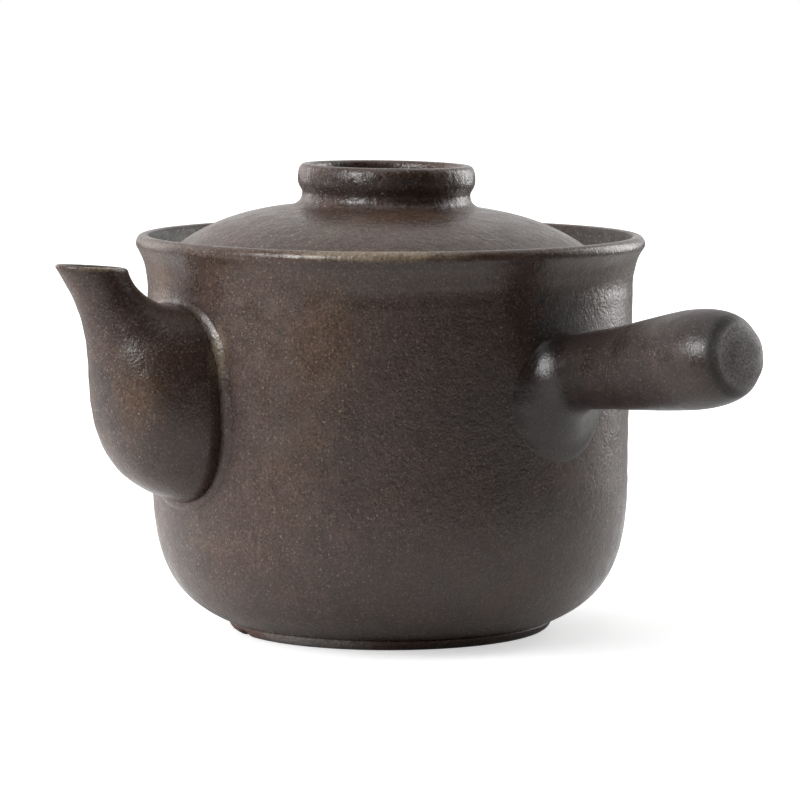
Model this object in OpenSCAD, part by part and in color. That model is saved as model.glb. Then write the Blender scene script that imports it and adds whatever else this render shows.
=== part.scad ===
// Side-handled stoneware pot for simmering herbs.
// A thrown vessel of base and wall carries a bulbous spout and a hollow side handle, each luted on
// with a collar of clay, and a notched foot ring. A pierced strainer closes the port behind the
// spout. A domed lid with a ring knob drops into the flared rim and its own rim sits on a ledge
// luted inside it. The pot's axis is Z, the foot stands on z = 0 and the spout points along -X.

/* [Vessel] */
// Height of the rim's crest above the table
pot_h = 142.6; // [137:0.2:160]
// Outer radius of the wall just under the flare of the rim
wall_r = 87.4; // [84:0.2:90]
// How much narrower the wall is at the top of the belly
wall_taper = 1.3; // [0:0.1:3]
// Height of the belly's curve above the foot ring
belly_h = 54; // [46:1:58]
// How far the belly runs out level from the foot ring
belly_reach = 20; // [16:0.5:23]
// Thickness of the wall
wall_t = 5.5; // [4.5:0.1:6.5]
// Thickness of the floor
floor_t = 6.5; // [5:0.1:9]

/* [Rim] */
// Thickness of the rounded lip
lip_t = 6.4; // [5:0.1:6.8]
// How far the wall flares out to the lip
flare_out = 4; // [3:0.1:6]
// Height of the flare
flare_h = 22; // [18:0.5:26]
// Depth of the lid's ledge below the crest
ledge_drop = 14.1; // [12:0.1:15]
// Width of the ledge
ledge_w = 6; // [5:0.2:8]
// Thickness of the ledge at its inner edge
ledge_t = 5; // [3:0.5:7]

/* [Foot ring] */
// Outer radius of the foot where it meets the vessel
foot_r = 58.8; // [54:0.2:62]
// Height of the foot
foot_h = 3.8; // [3:0.1:5]
// Width of the ring
foot_w = 9; // [7:0.5:12]
// How much the foot draws in towards the table
foot_taper = 3.9; // [2:0.1:5]
// Number of air notches cut in the ring
notch_count = 2; // [2:1:4]
// Width of a notch
notch_w = 6.5; // [4:0.5:9]
// Height of a notch
notch_h = 1.3; // [0.8:0.1:2]
// Bearing of the first notch from the spout
notch_angle = 355; // [345:1:365]

/* [Lid] */
// Clearance between the lid's edge and the rim
lid_gap = 1; // [0.7:0.1:1.6]
// Thickness of the lid's edge
lid_edge_h = 4.4; // [3.6:0.1:5.5]
// Rise of the dome from its edge to its crown
dome_rise = 21.2; // [18:0.2:25]
// Share of the dome's fall that is an even curve, while the rest gathers at its shoulder
dome_even = 0.25; // [0.1:0.05:0.6]
// Thickness of the dome
lid_t = 5; // [4:0.1:6]
// Clearance between the locating flange and the ledge
flange_gap = 1.2; // [0.8:0.1:2]
// Depth of the locating flange below the ledge's face
flange_h = 8; // [6:0.5:10]
// Thickness of the locating flange
flange_t = 5; // [3.5:0.1:6]

/* [Knob] */
// Largest radius of the ring knob
knob_r = 32; // [28:0.5:36]
// Height of the knob above the dome beneath it
knob_h = 14.6; // [12:0.2:18]
// Wall of the knob
knob_t = 5.4; // [4.5:0.1:6]
// Depth of the groove under the knob's bead
knob_groove = 1.4; // [0.6:0.1:2]
// Spread of the fillet between knob and dome
knob_fillet = 6; // [4:0.5:8]

/* [Spout] */
// Height of the middle of the spout's root
root_z = 85.5; // [84:0.1:88]
// Height of the root
root_h = 70.6; // [64:0.2:72]
// Width of the root
root_w = 55; // [50:0.5:58]
// Squareness of the root's outline, where 2 is an ellipse
root_square = 2.6; // [2:0.1:3]
// Reach of the pouring lip from the wall
spout_reach = 45.4; // [42:0.2:50]
// How far the pouring lip lies below the rim's crest
spout_lip_drop = 7.9; // [6:0.1:10]
// Reach of the bulb from the wall
bulb_reach = 31; // [27:0.2:35]
// Length of the mouth along the spout
mouth_l = 26.8; // [24:0.2:29]
// Width of the mouth
mouth_w = 21; // [19:0.5:25]
// How much lower the mouth's inner edge is than the pouring lip
mouth_drop = 1.8; // [1:0.2:4]
// Wall of the spout at its root
spout_t = 4.6; // [3.5:0.1:5.5]
// Wall of the spout at its lip
spout_lip_t = 2.6; // [2:0.1:3.4]
// Spread of the collar of clay round the root
spout_collar_w = 5.4; // [4:0.2:7]
// Height of the collar's ridge
spout_collar_h = 1.5; // [1:0.1:2.2]

/* [Strainer] */
// Radius of the port through the wall behind the spout, which the strainer fills
port_r = 21.6; // [20:0.2:22.4]
// Radius of each hole pierced through the strainer
strainer_hole_r = 1.9; // [1.5:0.1:2.1]
// Distance between neighbouring rings of holes
strainer_pitch = 8; // [6:0.1:8.8]
// Rings of holes round the middle one
strainer_rings = 2; // [1:1:2]

/* [Handle] */
// Angle from the spout round to the handle
handle_angle = 104.2; // [90:0.5:125]
// Height at which the handle's axis leaves the wall
handle_z = 97.4; // [92:0.2:101]
// Upward tilt of the handle
handle_tilt = 8.2; // [4:0.2:12]
// Length of the handle from the wall to its end
handle_l = 82.6; // [70:1:95]
// Radius of the handle's neck
neck_r = 13.1; // [11.5:0.1:14]
// Radius of the handle's thick end
grip_r = 17.4; // [15.5:0.1:20]
// Radius of the round on the handle's end
end_round = 13.6; // [8:0.2:14]
// Wall of the hollow handle
handle_t = 4.4; // [3.5:0.1:5.5]
// Radius of the kiln vent under the handle
vent_r = 1.5; // [1:0.1:2]
// Radius of the flared collar on the wall
handle_collar_r = 23.2; // [22.4:0.2:26]
// How far the middle of the collar's foot hangs below the handle's axis
handle_collar_drop = 8.4; // [7:0.2:8.8]
// Length of the collar's flare up the handle
handle_collar_l = 13; // [10:0.5:16]

/* [Hidden] */

glaze = "#46382f";
bare_clay = "#5a4038";

slip_gap = 0.1;      // film of slip between luted pieces
collar_gap = 0.4;    // room between a collar and what it wraps
turn_facets = 180;   // facets of a turned piece
curve_steps = 16;    // stretches of a curve in a profile
cut = 1;             // how far a cutter runs past a face

// A point at t on the Bezier curve with control points p.
function bezier(p, t) =
    len(p) == 1 ? p[0]
    : bezier([for (i = [0:len(p) - 2]) (1 - t) * p[i] + t * p[i + 1]], t);
function curve(p, n = curve_steps) = [for (i = [0:n]) bezier(p, i / n)];
function arc(centre, r, a0, a1, n = curve_steps) =
    [for (i = [0:n]) centre + r * [cos(a0 + (a1 - a0) * i / n), sin(a0 + (a1 - a0) * i / n)]];
function mix(a, b, t) = (1 - t) * a + t * b;

// ---- vessel ----
base_r = wall_r - wall_taper;
belly_z = foot_h + belly_h;
belly_lift = belly_reach * 0.42;
belly_pull = belly_h * 0.58;
floor_z = foot_h + floor_t;
join_z = floor_z + belly_h * 0.2;
flare_z = pot_h - flare_h;
flare_power = 2.6;
lip_join = 40;
lip_c = [wall_r + flare_out - lip_t / 2 * cos(lip_join), pot_h - lip_t / 2];
lip_low = lip_c[1] - lip_t / 2 * sin(lip_join);
ledge_z = pot_h - ledge_drop;
seat_r = wall_r - wall_t;
ledge_r = seat_r - ledge_w;
ledge_low = ledge_z - ledge_t - ledge_w;

// Outer radius of the wall above the belly at height z.
function wall_at(z) =
    base_r + wall_taper * min(1, (z - belly_z) / (flare_z - belly_z))
    + flare_out * pow(max(0, z - flare_z) / (lip_low - flare_z), flare_power);

function vessel_outer() = concat(
    curve([[foot_r, foot_h], [foot_r + belly_reach, foot_h + belly_lift],
           [base_r, belly_z - belly_pull], [base_r, belly_z]]),
    [for (i = [0:curve_steps]) let (z = mix(flare_z, lip_low, i / curve_steps)) [wall_at(z), z]],
    arc(lip_c, lip_t / 2, 10 - lip_join, 180));

// From the lip down the inside: flare, seat of the ledge, wall and belly.
function vessel_inner() = concat(
    curve([[lip_c[0] - lip_t / 2, lip_c[1] - 0.5], [seat_r + 1.8, ledge_z + ledge_drop * 0.45],
           [seat_r, ledge_z + ledge_drop * 0.3], [seat_r, ledge_z]]),
    [[seat_r, ledge_low]],
    curve([[base_r - wall_t, belly_z], [base_r - wall_t, belly_z - belly_pull],
           [foot_r + belly_reach * 0.45, floor_z + 0.5], [foot_r - belly_reach * 0.45, floor_z]]));

// Everything inside the vessel's outer skin, grown by a clearance, to trim what is luted on.
module vessel_core(gap) {
    rotate_extrude($fn = turn_facets)
        polygon([[0, 0], [base_r + gap, 0], [base_r + gap, belly_z],
                 [wall_r + gap, flare_z], [wall_r + gap, pot_h], [0, pot_h]]);
}

module vessel_blank() {
    rotate_extrude($fn = turn_facets)
        polygon(concat([[0, foot_h]], vessel_outer(), vessel_inner(), [[0, floor_z]]));
}

// A round bar through the wall behind the spout, off the root's middle by [sideways, up].
module port(r, off, sides) {
    translate([-wall_r - cut, off[0], root_z + off[1]])
        rotate([0, 90, 0])
            cylinder(r = r, h = port_r + cut, $fn = sides);
}

// The part of the vessel between two heights.
module vessel_band(low_z, high_z) {
    intersection() {
        vessel_blank();
        translate([0, 0, low_z])
            cylinder(r = wall_r + flare_out + cut, h = high_z - low_z, $fn = turn_facets);
    }
}

module vessel_wall() {
    color(glaze)
        difference() {
            vessel_band(join_z, pot_h + cut);
            port(port_r, [0, 0], 96);
        }
}

module vessel_base() {
    color(glaze)
        vessel_band(0, join_z - slip_gap);
}

module lid_ledge() {
    ledge_out = seat_r - slip_gap;
    ease = 0.8;
    color(glaze)
        rotate_extrude($fn = turn_facets)
            polygon([[ledge_out, ledge_low], [ledge_out, ledge_z], [ledge_r + ease, ledge_z],
                     [ledge_r, ledge_z - ease], [ledge_r, ledge_z - ledge_t]]);
}

// A disc of the wall, pierced by holes in rings of six, twelve and so on round the middle one.
module strainer() {
    color(glaze)
        difference() {
            intersection() {
                vessel_blank();
                port(port_r - slip_gap, [0, 0], 96);
            }
            for (ring = [0:strainer_rings], i = [0:max(0, 6 * ring - 1)]) {
                a = ring == 0 ? 0 : 60 * i / ring;
                port(strainer_hole_r, strainer_pitch * ring * [sin(a), cos(a)], 32);
            }
        }
}

// ---- foot ring ----
module foot_ring() {
    foot_in = foot_r - foot_w;
    tread_out = foot_r - foot_taper;
    color(bare_clay)
        difference() {
            rotate_extrude($fn = turn_facets)
                polygon(concat(
                    [[foot_in, foot_h], [foot_in + 1, 0.6], [foot_in + 1.6, 0], [tread_out, 0]],
                    curve([[tread_out + 0.8, 0.3], [foot_r - 0.4, foot_h * 0.35], [foot_r, foot_h]], 8)));
            for (i = [0:notch_count - 1])
                rotate([0, 0, 180 + notch_angle + 360 * i / notch_count])
                    translate([foot_in - cut, -notch_w / 2, -cut])
                        cube([foot_w + 2 * cut, notch_w, notch_h + cut]);
        }
}

// ---- spout ----
root_top = root_z + root_h / 2;
root_low = root_z - root_h / 2;
mouth_out = [wall_r + spout_reach, pot_h - spout_lip_drop];
mouth_in = mouth_out - [mouth_l, mouth_drop];
bulb_r = wall_r + bulb_reach;
spout_rings = 26;
spout_sides = 40;

// Upper and lower outlines of the spout in its own plane: [distance from the pot's axis, height].
top_line = [[wall_at(root_top), root_top], [wall_at(root_top) + 9.5, root_top - 1],
            mouth_in - [1.5, 6], mouth_in];
low_line = [[wall_at(root_low), root_low], [wall_at(root_low) + 12, root_low + 6],
            [bulb_r + 9.5, root_low + 8.5], [bulb_r - 7, root_low + 51],
            mouth_out - [14.5, 20], mouth_out];
half_widths = [root_w / 2, root_w / 2, root_w / 2 + 1, mouth_w / 2 + 4, mouth_w / 2 + 0.3, mouth_w / 2];

// Cosine and sine drawn out towards a square as n grows from 2.
function round_cos(a, n) = sign(cos(a)) * pow(abs(cos(a)), 2 / n);
function round_sin(a, n) = sign(sin(a)) * pow(abs(sin(a)), 2 / n);

// Point of the spout's section at t, at angle a from the upper outline, inset into its wall.
function spout_point(t, a, inset) =
    let (top = bezier(top_line, t), low = bezier(low_line, t), mid = (top + low) / 2,
         half = norm(top - low) / 2, up = (top - low) / (2 * half),
         n = mix(root_square, 2, min(1, 1.6 * t)),
         p = mid + up * (half - inset) * round_cos(a, n),
         v = (bezier(half_widths, t) - inset) * round_sin(a, n))
    [p[0], v, p[1]];
// The same height and width as p, moved onto the vessel's wall.
function on_wall(p, gap) = [sqrt(pow(wall_at(p[2]) + gap, 2) - p[1] * p[1]), p[1], p[2]];
function spout_ring(i, inner) =
    let (t = i / spout_rings, inset = inner ? mix(spout_t, spout_lip_t, t) : 0)
    [for (k = [0:spout_sides - 1])
        let (p = spout_point(t, 360 * k / spout_sides, inset), q = i == 0 ? on_wall(p, slip_gap) : p)
        [-q[0], q[1], q[2]]];

// Triangles of a closed tube of rings, of which the last joins the first.
function tube_faces(rings, sides) =
    [for (r = [0:rings - 1], k = [0:sides - 1])
        let (a = r * sides, b = (r + 1) % rings * sides, k2 = (k + 1) % sides)
        each [[a + k, b + k2, a + k2], [a + k, b + k, b + k2]]];

module spout() {
    outer = [for (i = [0:spout_rings]) each spout_ring(i, false)];
    inner = [for (i = [spout_rings:-1:0]) each spout_ring(i, true)];
    color(glaze)
        polyhedron(concat(outer, inner), tube_faces(2 * (spout_rings + 1), spout_sides));
}

// ---- collars ----
collar_sides = 48;

// The spout's collar is a ridge of clay that follows the root's outline on the wall.
function spout_collar_point(a, out, h) =
    let (v = (root_w / 2 + out) * round_sin(a, root_square),
         z = root_z + (root_h / 2 + out) * round_cos(a, root_square))
    on_wall([0, v, z], h);

module spout_collar() {
    w = spout_collar_w;
    h = spout_collar_h;
    section = [[w, slip_gap], [w, slip_gap + 0.1], [w * 0.8, h * 0.45], [w * 0.55, h * 0.85],
               [w * 0.3, h * 1.05], [collar_gap, h * 1.1], [collar_gap, slip_gap]];
    rings = [for (k = [0:collar_sides - 1])
        each [for (s = section) spout_collar_point(360 * k / collar_sides, s[0], s[1])]];
    color(glaze)
        rotate([0, 0, 180])
            polyhedron(rings, tube_faces(collar_sides, len(section)));
}

// ---- handle ----
handle_bearing = 180 + handle_angle;
handle_root = wall_at(handle_z);

// Profile of the handle, inset into its wall: [radius, distance from the wall].
function handle_outline(inset) = concat(
    curve([[neck_r - inset, 0], [neck_r - inset - 0.4, handle_l * 0.32], [grip_r - inset, handle_l * 0.5],
           [grip_r - inset, handle_l - end_round]]),
    arc([grip_r - end_round, handle_l - end_round], end_round - inset, 10, 90));

module handle_place() {
    rotate([0, 0, handle_bearing])
        translate([handle_root, 0, handle_z])
            rotate([0, 90 - handle_tilt, 0])
                children();
}

module handle() {
    deep = 8;
    color(glaze)
        difference() {
            handle_place()
                rotate_extrude($fn = 96)
                    polygon(concat([[0, -deep], [neck_r, -deep]], handle_outline(0), [[0, handle_l]]));
            handle_place()
                rotate_extrude($fn = 96)
                    polygon(concat([[0, -deep - cut], [neck_r - handle_t, -deep - cut]],
                                   handle_outline(handle_t), [[0, handle_l - handle_t]]));
            handle_place()
                translate([0, 0, handle_collar_l + 6])
                    rotate([0, 90, 0])
                        cylinder(r = vent_r, h = grip_r + cut, $fn = 24);
            vessel_core(slip_gap);
        }
}

// The handle's collar flares from a ring round the neck down to a wider, lower ring on the wall.
function collar_neck(a) = (neck_r + collar_gap) * [sin(a), cos(a)];
function collar_foot(a) = handle_collar_r * [sin(a), cos(a)] - [0, handle_collar_drop];
function handle_collar_point(a, s) =
    let (rise = handle_collar_l * mix(0.45, 1, (1 - cos(a)) / 2),
         h = slip_gap + 0.2 + rise * (1 - cos(90 * s)),
         p = mix(collar_foot(a), collar_neck(a), sin(90 * s)))
    on_wall([0, p[0], handle_z + p[1] + h * tan(handle_tilt)], h);

module handle_collar() {
    flare_steps = 9;
    seat_steps = 3;
    rings = [for (k = [0:collar_sides - 1])
        let (a = 360 * k / collar_sides)
        each concat(
            [for (i = [seat_steps:-1:0])
                let (p = mix(collar_foot(a), collar_neck(a), i / seat_steps))
                on_wall([0, p[0], handle_z + p[1]], slip_gap)],
            [for (i = [0:flare_steps]) handle_collar_point(a, i / flare_steps)])];
    color(glaze)
        rotate([0, 0, handle_bearing])
            polyhedron(rings, tube_faces(collar_sides, seat_steps + flare_steps + 2));
}

// ---- lid ----
lid_r = seat_r - lid_gap;
dome_edge_z = ledge_z + lid_edge_h;
flange_r = ledge_r - flange_gap;
flange_in = flange_r - flange_t;
shoulder_r = lid_r * 0.74;
edge_round = 1.4;

// Height of the dome at radius r, and a line of points along it moved by a rise.
function dome_at(r) =
    let (u = r / lid_r)
    dome_edge_z + dome_rise * (1 - dome_even * pow(u, 2) - (1 - dome_even) * pow(u, 4));
function dome_line(r0, r1, rise, n = curve_steps) =
    [for (i = [0:n]) let (r = mix(r0, r1, i / n)) [r, dome_at(r) + rise]];

module lid_dome() {
    dome_r = shoulder_r - slip_gap;
    color(glaze)
        rotate_extrude($fn = turn_facets)
            polygon(concat(dome_line(0, dome_r, 0), dome_line(dome_r, 0, -lid_t)));
}

// The lid's rim falls from the dome's shoulder to the flat face that rests on the ledge.
module lid_rim() {
    color(glaze)
        rotate_extrude($fn = turn_facets)
            polygon(concat(
                dome_line(shoulder_r, lid_r - edge_round, 0),
                [[lid_r, dome_edge_z - edge_round * 0.3], [lid_r, ledge_z + edge_round],
                 [lid_r - edge_round, ledge_z], [flange_r + slip_gap, ledge_z]],
                dome_line(flange_r + slip_gap, shoulder_r, -lid_t)));
}

module lid_flange() {
    low_z = ledge_z - flange_h;
    bevel = 1.2;
    color(glaze)
        rotate_extrude($fn = turn_facets)
            polygon(concat(
                [[flange_in, low_z + bevel], [flange_in + bevel, low_z],
                 [flange_r - bevel, low_z], [flange_r, low_z + bevel]],
                dome_line(flange_r, flange_in, -lid_t - slip_gap, 4)));
}

module lid_knob() {
    groove_r = knob_r - knob_groove;
    inner_r = knob_r - knob_t;
    base_z = dome_at(groove_r);
    top_z = base_z + knob_h;
    skirt_r = groove_r + knob_fillet;
    cup_r = inner_r - 2.5;
    film = 2 * slip_gap;
    color(glaze)
        rotate_extrude($fn = turn_facets)
            polygon(concat(
                // fillet up from the dome, groove, bead, rounded top, inside and the fillet at its foot
                curve([[skirt_r, dome_at(skirt_r) + film],
                       [groove_r + knob_fillet * 0.3, base_z + film],
                       [groove_r + 0.2, base_z + knob_h * 0.14],
                       [groove_r + 0.4, base_z + knob_h * 0.26]], 8),
                curve([[groove_r, base_z + knob_h * 0.34], [knob_r, base_z + knob_h * 0.38],
                       [knob_r, base_z + knob_h * 0.55]], 8),
                curve([[knob_r, base_z + knob_h * 0.72], [knob_r - 0.2, top_z],
                       [knob_r - knob_t * 0.45, top_z]], 8),
                curve([[inner_r + knob_t * 0.4, top_z], [inner_r, top_z],
                       [inner_r, top_z - knob_t * 0.5]], 8),
                curve([[inner_r, base_z + knob_h * 0.4], [inner_r, dome_at(inner_r) + 1],
                       [cup_r, dome_at(cup_r) + film]], 6),
                dome_line(cup_r, skirt_r, slip_gap, 8)));
}

vessel_wall();
vessel_base();
lid_ledge();
strainer();
foot_ring();
spout();
spout_collar();
handle();
handle_collar();
lid_dome();
lid_rim();
lid_flange();
lid_knob();
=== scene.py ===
"""Side-handled stoneware pot for simmering herbs, dressed round its CAD frame.

Lengths in the property groups are in metres. The modelling functions work in millimetres and the
finished meshes are brought back to metres. The pot's axis is Z, its foot stands on z = 0 and the
spout points along -X.
"""

import math
from types import SimpleNamespace

import bmesh
import bpy
from bpy.props import FloatProperty, FloatVectorProperty, PointerProperty
from mathutils import Matrix, Vector, noise


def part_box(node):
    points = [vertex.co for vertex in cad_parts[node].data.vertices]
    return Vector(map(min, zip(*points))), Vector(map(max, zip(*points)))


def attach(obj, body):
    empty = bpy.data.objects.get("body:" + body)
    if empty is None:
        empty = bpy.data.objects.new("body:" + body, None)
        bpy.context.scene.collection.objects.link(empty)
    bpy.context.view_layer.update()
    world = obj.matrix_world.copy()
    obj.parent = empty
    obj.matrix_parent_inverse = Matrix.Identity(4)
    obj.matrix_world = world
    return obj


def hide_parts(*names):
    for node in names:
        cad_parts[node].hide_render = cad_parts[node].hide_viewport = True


bl_info = {
    "name": "Herb simmering pot",
    "version": (1, 0, 0),
    "blender": (4, 5, 0),
    "location": "3D View > Sidebar > Herb pot",
    "description": "A stoneware pot with a spout, a hollow side handle and a domed lid",
    "category": "Object",
}

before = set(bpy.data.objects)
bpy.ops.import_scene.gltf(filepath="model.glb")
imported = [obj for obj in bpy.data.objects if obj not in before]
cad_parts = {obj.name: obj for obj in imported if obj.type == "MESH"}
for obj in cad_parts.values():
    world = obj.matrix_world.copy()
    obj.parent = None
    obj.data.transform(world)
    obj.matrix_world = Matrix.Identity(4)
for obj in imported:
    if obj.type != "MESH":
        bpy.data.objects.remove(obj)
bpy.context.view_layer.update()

MM = 0.001
TURN = 2 * math.pi
WELD = 0.002  # points closer than this, in millimetres, become one
SUNK = 0.4  # how far luted clay is let into the wall, in millimetres
AROUND = 192  # steps round a turned shape
SENSOR = 36  # width of the camera's sensor in millimetres
FLOOR_RADIUS = 9  # in metres
RING_PITCH = 8.5  # height between two throwing rings in millimetres
HIGH_SIDE = 140  # bearing of the rim's highest point in degrees
FOOT_NOTCH = 175  # bearing of the first air notch in degrees
LIP_TURNS = (30, 60, 90, 120, 150)  # steps round the edge of the spout's lip in degrees
GRIP_DOME = 2.87  # how square the handle's domed end is, 2 being round


# ---- sizes and colours ----


def length(name, description, mm):
    """A length property with its default given in millimetres."""
    return FloatProperty(
        name=name, description=description, default=mm * MM, unit="LENGTH", subtype="DISTANCE"
    )


def angle(name, description, degrees):
    """An angle property with its default given in degrees."""
    return FloatProperty(
        name=name, description=description, default=math.radians(degrees), subtype="ANGLE"
    )


def colour(name, description, rgb):
    """A colour property, linear."""
    return FloatVectorProperty(
        name=name, description=description, default=rgb, size=3, min=0, max=1, subtype="COLOR"
    )


def share(name, description, value, top=1.0):
    """A plain number between zero and its top."""
    return FloatProperty(name=name, description=description, default=value, min=0, max=top)


def watts(name, where, value):
    """The power of a lamp."""
    text = f"Power in watts of the lamp {where}"
    return FloatProperty(name=name, description=text, default=value, min=0)


class VesselSizes(bpy.types.PropertyGroup):
    """Sizes of the thrown vessel and its foot."""

    rim_height: length("Rim height", "Height of the rim's crest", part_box("vessel_wall")[1][2] / MM)
    wall_radius: length("Wall radius", "Outer radius just under the flare of the rim", 87.4)
    wall_taper: length("Wall taper", "How much narrower the wall is at the top of the belly", 1.3)
    belly_height: length("Belly height", "Height of the belly's curve above the foot", 54)
    belly_reach: length("Belly reach", "How far the belly runs out level from the foot", 20)
    wall: length("Wall", "Thickness of the wall", 5.5)
    floor: length("Floor", "Thickness of the floor", 6.5)
    lip_radius: length("Lip radius", "Outer radius of the lip", 91.7)
    lip_face: length("Lip face", "Height of the lip's rounded outer face", 4.2)
    crest: length("Crest", "Width of the lip's crest", 5.3)
    flare: length("Flare", "How far the wall flares out to the lip", 3.95)
    flare_height: length("Flare height", "Height of the flare", 22)
    ledge_drop: length("Ledge drop", "Depth of the lid's ledge below the crest", 14.1)
    ledge_width: length("Ledge width", "Width of the lid's ledge", 6)
    ledge_thickness: length("Ledge thickness", "Thickness of the ledge at its inner edge", 5)
    port_radius: length("Port radius", "Radius of the strainer's port behind the spout", 21.6)
    foot_radius: length("Foot radius", "Outer radius of the foot ring", 58.8)
    foot_height: length("Foot height", "Height of the foot ring", 3.8)
    foot_width: length("Foot width", "Width of the foot ring", 9)
    foot_taper: length("Foot taper", "How much the foot draws in towards the table", 3.9)
    notch_width: length("Notch width", "Width of an air notch in the foot", 6.5)
    notch_height: length("Notch height", "Height of an air notch in the foot", 1.3)
    unevenness: length("Unevenness", "How far the thrown wall strays from a true turn", 0.35)
    rim_rise: length("Rim rise", "How much higher the rim stands on the spout's side", 0.6)
    throwing_rings: length("Throwing rings", "Depth of the rings the potter's fingers left", 0.07)


class SpoutSizes(bpy.types.PropertyGroup):
    """Sizes of the pouring spout and the ridge of clay that lutes it on."""

    root_z: length("Root height", "Height of the middle of the spout's root", 85.9)
    root_h: length("Root length", "Height of the spout's root on the wall", 70.6)
    root_w: length("Root width", "Width of the spout's root on the wall", 55)
    reach: length("Reach", "Reach of the pouring lip from the wall", 45.2)
    lip_drop: length("Lip drop", "How far the pouring lip lies below the rim's crest", 7.4)
    bulb_reach: length("Bulb reach", "Reach of the bulb from the wall", 31)
    mouth_l: length("Mouth length", "Length of the mouth along the spout", 26.2)
    mouth_w: length("Mouth width", "Width of the mouth", 21)
    mouth_drop: length("Mouth drop", "How much lower the mouth's inner edge is", 1.8)
    wall: length("Root wall", "Wall of the spout at its root", 4.6)
    lip_wall: length("Lip wall", "Wall of the spout at its lip", 2.6)
    seam_w: length("Seam width", "Width of the luted ridge beside the root", 3.8)
    seam_top: length("Seam top", "Width of the luted ridge above and below the root", 2.2)
    seam_h: length("Seam height", "Height of the luted ridge", 1.3)


class HandleSizes(bpy.types.PropertyGroup):
    """Sizes of the hollow side handle and its flared collar."""

    axis_z: length("Axis height", "Height at which the handle's axis leaves the wall", 98.3)
    length: length("Length", "Length of the handle from the wall to its end", 85.2)
    neck_r: length("Neck radius", "Radius of the handle's neck", 13.6)
    waist_r: length("Waist radius", "Pull of the handle's slim part behind the neck", 12.2)
    swell_r: length("Swell radius", "Pull of the handle's swelling towards the grip", 15.9)
    grip_r: length("Grip radius", "Radius of the handle's thick end", 17)
    dome_l: length("Dome length", "Length of the handle's domed end", 25)
    face_r: length("Face radius", "Radius of the soft groove round the end face", 12.4)
    groove: length("End groove", "Depth of the soft groove round the end face", 0.45)
    collar_r: length("Collar radius", "Radius of the flared collar on the wall", 22.8)
    collar_drop: length("Collar drop", "How far the collar's foot hangs below the axis", 8.6)
    collar_l: length("Collar length", "Length of the collar's flare up the handle", 13)
    collar_edge: length("Collar edge", "Height of the smoothed edge of the collar", 0.55)


class HandleAngles(bpy.types.PropertyGroup):
    """Where the handle points."""

    bearing: angle("Bearing", "Angle from the spout round to the handle", 104.2)
    tilt: angle("Tilt", "Upward tilt of the handle", 8.2)


class LidSizes(bpy.types.PropertyGroup):
    """Sizes of the domed lid, its locating flange and its ring knob."""

    gap: length("Gap", "Clearance between the lid's edge and the rim", 1)
    edge_height: length("Edge height", "Thickness of the lid's edge", 4.4)
    rise: length("Rise", "Rise of the dome from its edge to its crown", 21.2)
    thickness: length("Thickness", "Thickness of the dome", 5)
    flange_gap: length("Flange gap", "Clearance between the flange and the ledge", 1.2)
    flange_height: length("Flange height", "Depth of the flange below the ledge", 8)
    flange: length("Flange", "Thickness of the locating flange", 5)
    knob_r: length("Knob radius", "Largest radius of the ring knob", 32)
    knob_h: length("Knob height", "Height of the knob above the dome beneath it", 14.9)
    knob: length("Knob wall", "Wall of the ring knob", 5.4)
    groove: length("Groove", "Depth of the groove under the knob's bead", 1.7)
    fillet: length("Fillet", "Spread of the fillet between knob and dome", 6)
    shift: length("Shift", "How far the dome sits to the spout's side of the seat", 1.9)


class LidShape(bpy.types.PropertyGroup):
    """How the lid's dome curves and leans."""

    even: share("Even fall", "Share of the dome's fall that is an even curve", 0.25)
    lean: angle("Lean", "Lean of the dome on its seat", 1.1)


class Glaze(bpy.types.PropertyGroup):
    """Colours and surface of the fired clay, some of which paint light and shade."""

    body: colour("Body", "Dark brown of the fired clay", (0.079, 0.048, 0.038))
    grip: colour("Grip", "Darker brown of the handle", (0.031, 0.020, 0.018))
    warm: colour("Warm", "Warm brown where the flame has toasted the clay", (0.098, 0.055, 0.031))
    olive: colour("Olive", "Olive grey where ash has settled", (0.080, 0.068, 0.046))
    smoke: colour("Smoke", "Smoky grey of the reduced patches", (0.047, 0.041, 0.041))
    # Ash also paints highlights: it is pale enough to stand for the highlight on the rim's lip, and
    # it paints broken highlights on the spout's lip and seam.
    ash: colour("Ash", "Pale olive brown where ash has run on the rim", (0.27, 0.205, 0.14))
    # Soot also stands for painted shade on the belly's right front, where it turns away from the key
    # lamp.
    soot_and_shade: colour("Soot", "Near black of the most reduced clay", (0.024, 0.020, 0.020))
    # Painted reflection: pale grey on the left of the foot for the sheen of the lit floor.
    floor_lit: colour("Worn", "Pale grey where the foot is worn", (0.20, 0.18, 0.175))
    # Painted light on the handle's end face, pale as if lit from the right.
    end_face_light: colour("Dust", "Dull grey of the handle's end", (0.22, 0.20, 0.195))
    speck: colour("Specks", "Pale tan grains of grog", (0.34, 0.255, 0.185))
    # Iron also stands for painted shade: the dark band under the rim's lip and the shadow on the
    # right of the foot.
    iron: colour("Iron", "Dark iron grains", (0.022, 0.016, 0.014))
    bare: colour("Bare clay", "Red-brown clay of the foot", (0.090, 0.045, 0.036))
    roughness: share("Roughness", "Roughness of the satin surface", 0.25)
    peel: length("Peel", "Depth of the surface's fine pebbling", 0.28)


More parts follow.
